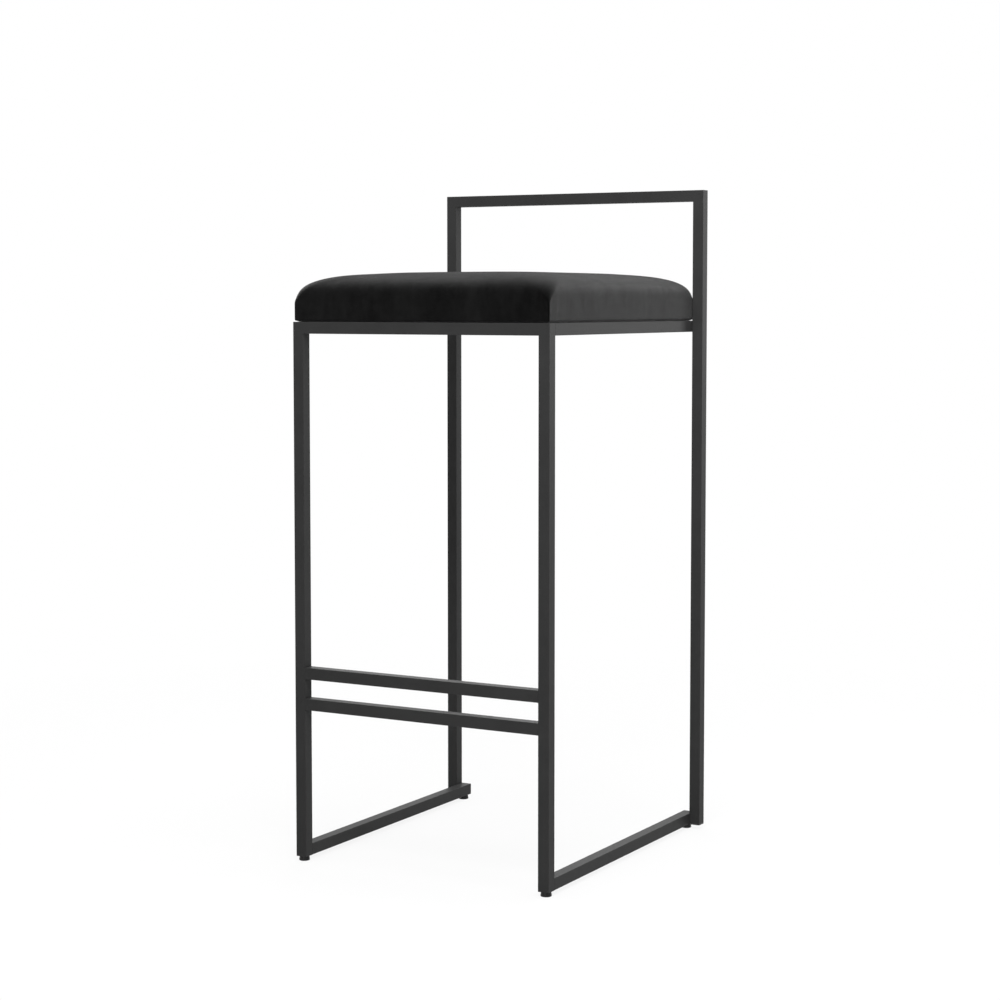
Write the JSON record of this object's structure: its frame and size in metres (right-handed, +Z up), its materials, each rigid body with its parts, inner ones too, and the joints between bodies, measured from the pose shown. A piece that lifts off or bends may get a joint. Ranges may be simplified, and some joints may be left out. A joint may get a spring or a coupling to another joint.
{
  "type": "bar stool",
  "caption": "Bar stool with a square-tube black metal frame, twin-bar footrest, low bar back and padded velvet seat on levelling glides.",
  "frame": {"origin": "on the floor, under the middle of the stool's bounding box", "axes": "+Z up; -Y to the front, where the footrest is; +X to the right as seen from the front"},
  "size_m": [0.4, 0.422, 0.87],
  "materials": {
    "frame_paint": "satin",
    "velvet": "matte",
    "foam": "matte",
    "plywood": "matte",
    "dust_cloth": "matte",
    "black_plastic": "matte",
    "glide_plastic": "satin",
    "zinc_steel": "satin",
    "black_screw": "satin"
  },
  "bodies": {
    "frame": {"front_left_leg": "frame_paint", "front_right_leg": "frame_paint", "left_seat_rail": "frame_paint", "right_seat_rail": "frame_paint", "left_floor_rail": "frame_paint", "right_floor_rail": "frame_paint", "left_rail_end_plate": "frame_paint", "right_rail_end_plate": "frame_paint", "rear_left_post": "frame_paint", "rear_right_post": "frame_paint", "front_seat_rail": "frame_paint", "rear_seat_rail": "frame_paint", "upper_footrest_bar": "frame_paint", "lower_footrest_bar": "frame_paint", "backrest_bar": "frame_paint", "front_left_seat_gusset": "frame_paint", "front_right_seat_gusset": "frame_paint", "rear_left_seat_gusset": "frame_paint", "rear_right_seat_gusset": "frame_paint", "rear_left_post_cap": "black_plastic", "rear_right_post_cap": "black_plastic", "front_left_glide_nut": "black_plastic", "front_right_glide_nut": "black_plastic", "rear_left_glide_nut": "zinc_steel", "rear_right_glide_nut": "zinc_steel", "seat_screws": "black_screw", "seat_washers": "zinc_steel", "seat_t_nuts": "zinc_steel", "seat_board": "plywood", "seat_foam": "foam", "seat_cover": "velvet", "seat_dust_cover": "dust_cloth", "cover_staples": "zinc_steel"},
    "front_left_stud": {"front_left_glide_stud": "zinc_steel"},
    "front_left_pad": {"front_left_glide_pad": "glide_plastic"},
    "front_right_stud": {"front_right_glide_stud": "zinc_steel"},
    "front_right_pad": {"front_right_glide_pad": "glide_plastic"},
    "rear_left_stud": {"rear_left_glide_stud": "zinc_steel"},
    "rear_left_pad": {"rear_left_glide_pad": "glide_plastic"},
    "rear_right_stud": {"rear_right_glide_stud": "zinc_steel"},
    "rear_right_pad": {"rear_right_glide_pad": "glide_plastic"}
  },
  "joints": [
    {"name": "front_left_glide_travel", "type": "slide", "parent": "frame", "child": "front_left_stud", "axis": [0, 0, -1], "range_m": [0, 0.006]},
    {"name": "front_left_glide_turn", "type": "hinge", "parent": "front_left_stud", "child": "front_left_pad", "pos_m": [-0.1775, -0.2035, 0.006], "axis": [0, 0, -1], "range_deg": [0, 2160]},
    {"name": "front_right_glide_travel", "type": "slide", "parent": "frame", "child": "front_right_stud", "axis": [0, 0, -1], "range_m": [0, 0.006]},
    {"name": "front_right_glide_turn", "type": "hinge", "parent": "front_right_stud", "child": "front_right_pad", "pos_m": [0.1775, -0.2035, 0.006], "axis": [0, 0, -1], "range_deg": [0, 2160]},
    {"name": "rear_left_glide_travel", "type": "slide", "parent": "frame", "child": "rear_left_stud", "axis": [0, 0, -1], "range_m": [0, 0.006]},
    {"name": "rear_left_glide_turn", "type": "hinge", "parent": "rear_left_stud", "child": "rear_left_pad", "pos_m": [-0.1775, 0.2025, 0.006], "axis": [0, 0, -1], "range_deg": [0, 2160]},
    {"name": "rear_right_glide_travel", "type": "slide", "parent": "frame", "child": "rear_right_stud", "axis": [0, 0, -1], "range_m": [0, 0.006]},
    {"name": "rear_right_glide_turn", "type": "hinge", "parent": "rear_right_stud", "child": "rear_right_pad", "pos_m": [0.1775, 0.2025, 0.006], "axis": [0, 0, -1], "range_deg": [0, 2160]}
  ],
  "couplings": [
    {"joint": "front_left_glide_turn", "follows": "front_left_glide_travel", "rad_per_m": 6283.2},
    {"joint": "front_right_glide_turn", "follows": "front_right_glide_travel", "rad_per_m": 6283.2},
    {"joint": "rear_left_glide_turn", "follows": "rear_left_glide_travel", "rad_per_m": 6283.2},
    {"joint": "rear_right_glide_turn", "follows": "rear_right_glide_travel", "rad_per_m": 6283.2}
  ]
}
